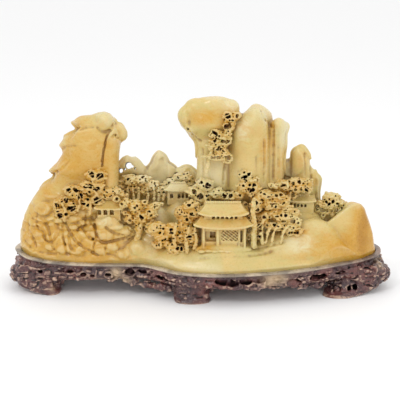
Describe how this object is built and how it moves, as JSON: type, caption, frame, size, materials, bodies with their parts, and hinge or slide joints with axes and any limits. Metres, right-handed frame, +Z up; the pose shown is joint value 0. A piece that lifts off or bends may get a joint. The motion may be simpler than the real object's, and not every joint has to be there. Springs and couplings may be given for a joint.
{
  "type": "soapstone mountain carving",
  "caption": "Mountain landscape with peaks, openwork pines and pavilions carved from one block of yellow soapstone, set in the recess of its own low carved dark stone stand with short feet",
  "frame": {"origin": "on the ground under the middle of the stand", "axes": "+X to the right along the length, +Y to the back, +Z up; the pavilions face -Y"},
  "size_m": [0.46, 0.156, 0.23],
  "materials": {
    "yellow_soapstone": "polished",
    "dark_stone": "polished"
  },
  "bodies": {
    "root": {"mountain_carving": "yellow_soapstone", "carved_stand": "dark_stone"}
  },
  "joints": []
}
